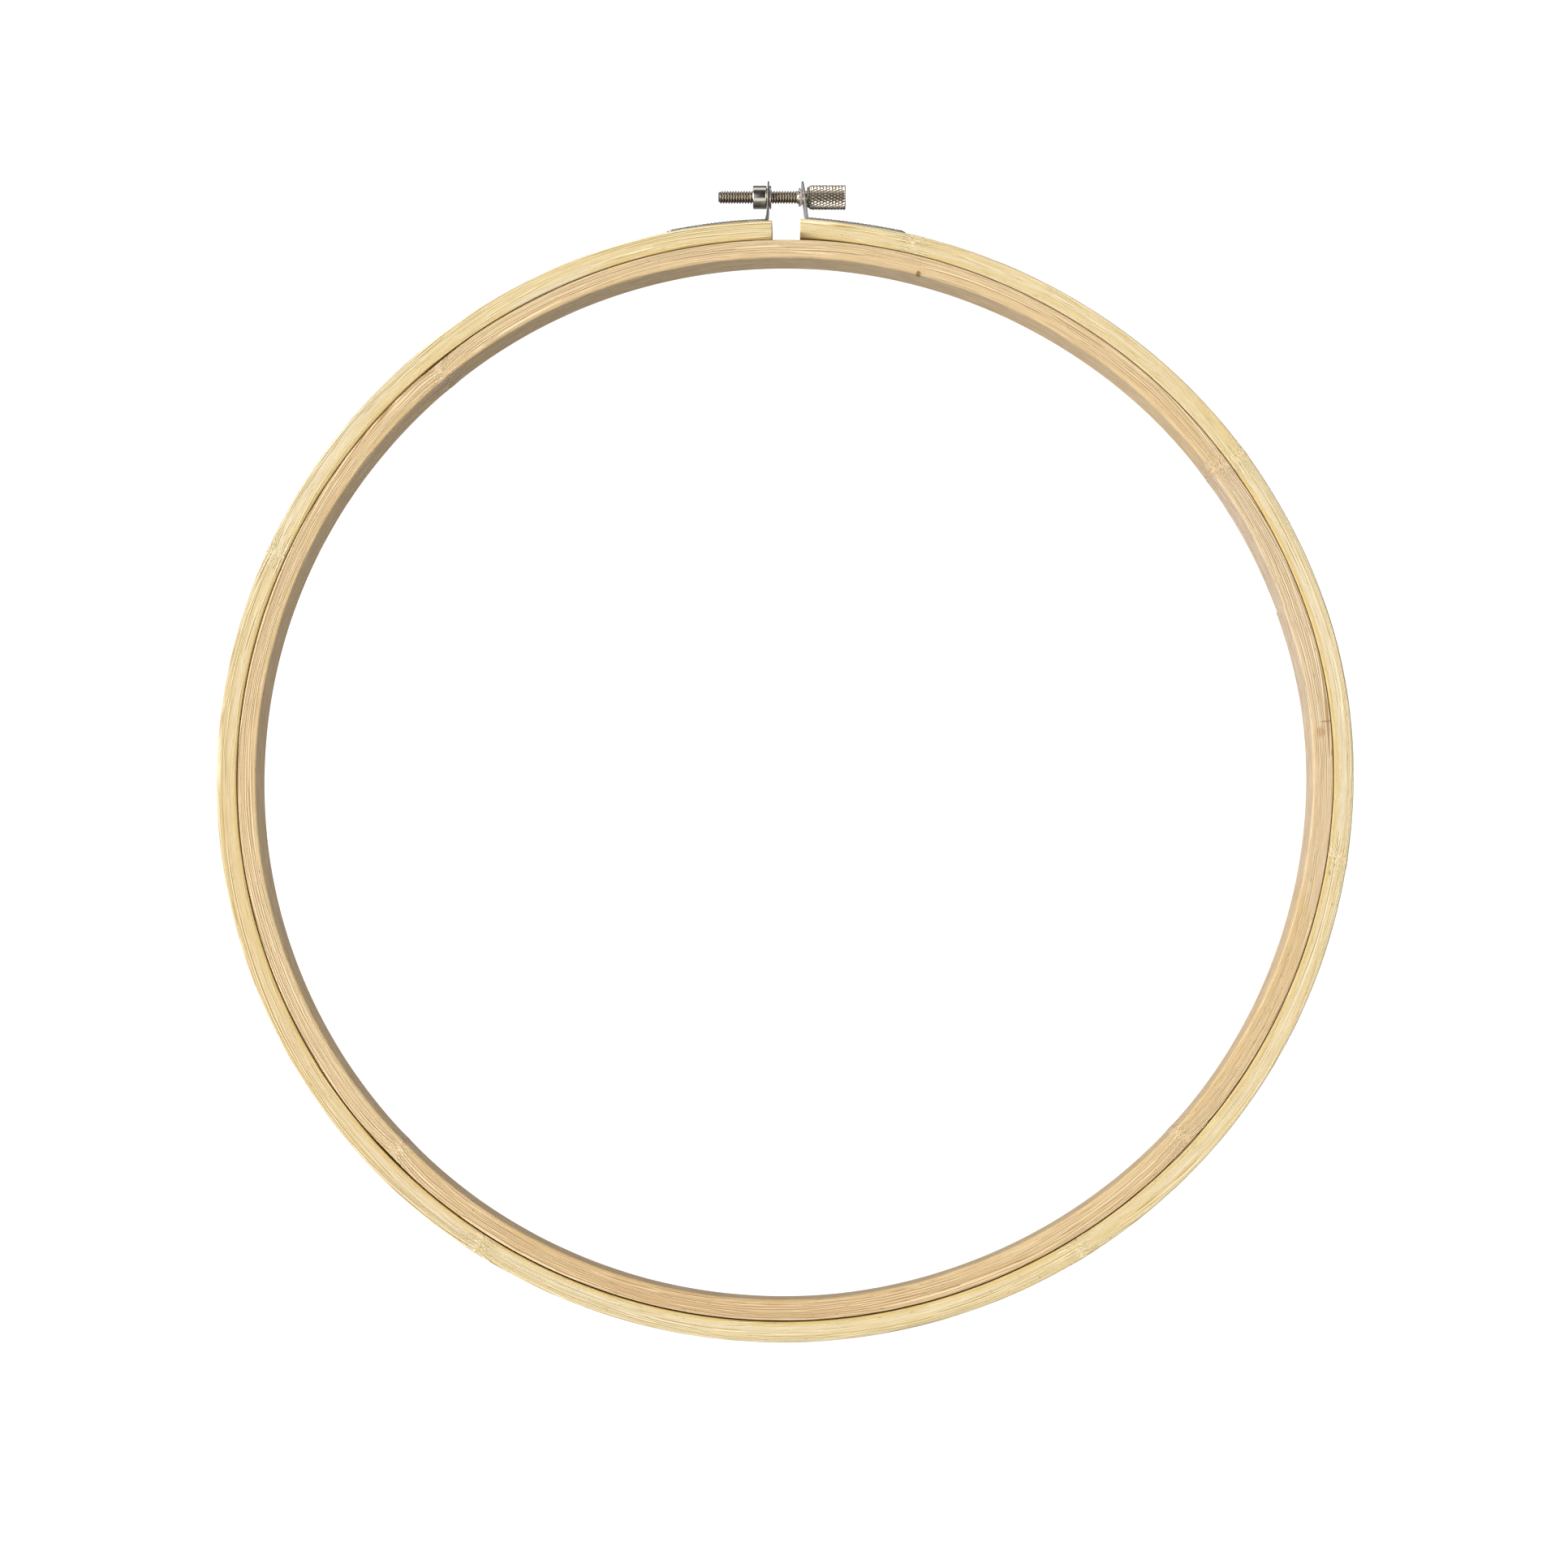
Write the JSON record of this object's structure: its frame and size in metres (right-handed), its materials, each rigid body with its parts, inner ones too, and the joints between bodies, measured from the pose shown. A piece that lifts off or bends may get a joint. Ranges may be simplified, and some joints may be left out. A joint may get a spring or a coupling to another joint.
{
  "type": "embroidery hoop",
  "caption": "Bamboo embroidery hoop: two nested rings, the outer one split and closed by a metal clamp with a knurled thumb screw that tightens it on fabric.",
  "frame": {"origin": "centre of the hoop at the middle of the rings' height", "axes": "+Z out of the front of the hoop, +Y through the clamp, +X towards the screw's knurled head"},
  "size_m": [0.3164, 0.3288, 0.01],
  "materials": {
    "bamboo_inner": "satin bamboo, pinkish tan",
    "bamboo_outer": "satin bamboo, pale straw",
    "bracket_steel": "nickel-plated strip with an embossed face",
    "tack_steel": "nickel-plated",
    "nut_steel": "polished nickel plate",
    "screw_steel": "bright nickel plate"
  },
  "bodies": {
    "outer_ring_nut_side": {"outer_ring_nut_half": "bamboo_outer", "nut_bracket": "bracket_steel", "nut_bracket_near_tack": "tack_steel", "nut_bracket_far_tack": "tack_steel", "barrel_nut": "nut_steel"},
    "outer_ring_screw_side": {"outer_ring_screw_half": "bamboo_outer", "screw_bracket": "bracket_steel", "screw_bracket_near_tack": "tack_steel", "screw_bracket_far_tack": "tack_steel"},
    "screw": {"clamp_screw": "screw_steel", "retaining_collar": "screw_steel"},
    "inner_ring": {"inner_ring": "bamboo_inner"}
  },
  "joints": [
    {"name": "ring_flex", "type": "hinge", "parent": "outer_ring_nut_side", "child": "outer_ring_screw_side", "pos_m": [-0.00703, -0.15804, 0], "axis": [0, 0, -1], "range_deg": [0, 1.54]},
    {"name": "screw_turn", "type": "hinge", "parent": "outer_ring_screw_side", "child": "screw", "pos_m": [0.00525, 0.1661, 0], "axis": [1, 0, 0], "range_deg": [0, 3960]},
    {"name": "inner_ring_lift", "type": "slide", "parent": "outer_ring_nut_side", "child": "inner_ring", "axis": [0, 0, 1], "range_m": [0, 0.03]}
  ],
  "couplings": [
    {"joint": "screw_turn", "follows": "ring_flex", "ratio": 2565.9}
  ]
}
